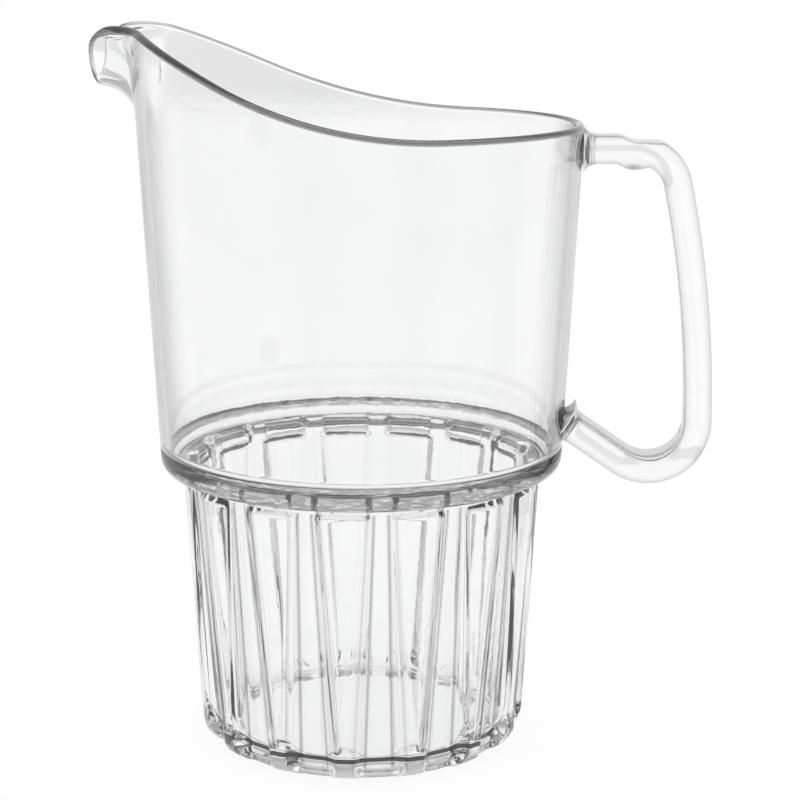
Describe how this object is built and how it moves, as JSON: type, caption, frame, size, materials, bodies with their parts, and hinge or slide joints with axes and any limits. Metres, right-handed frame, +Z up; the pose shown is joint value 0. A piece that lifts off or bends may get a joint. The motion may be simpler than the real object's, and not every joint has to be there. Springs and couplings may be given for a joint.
{
  "type": "beer pitcher",
  "caption": "Clear plastic beer pitcher: tapered barrel with a swept rim and trough spout, stepped shoulder, narrower fluted base with a raised floor, and a loop handle.",
  "frame": {"origin": "where the axis of the body meets the table, in the plane of the foot ring", "axes": "+Z up along the axis of the body, +X towards the handle, the spout towards -X"},
  "size_m": [0.1862, 0.1344, 0.2213],
  "materials": {
    "barrel": "clear moulded plastic, glossy",
    "base": "clear moulded plastic, glossy, with fluted wall",
    "handle": "clear moulded plastic, glossy, thicker section"
  },
  "bodies": {
    "root": {"barrel": "barrel", "pouring_spout": "barrel", "shoulder_ring": "barrel", "fluted_base": "base", "base_floor": "base", "handle": "handle"}
  },
  "joints": []
}
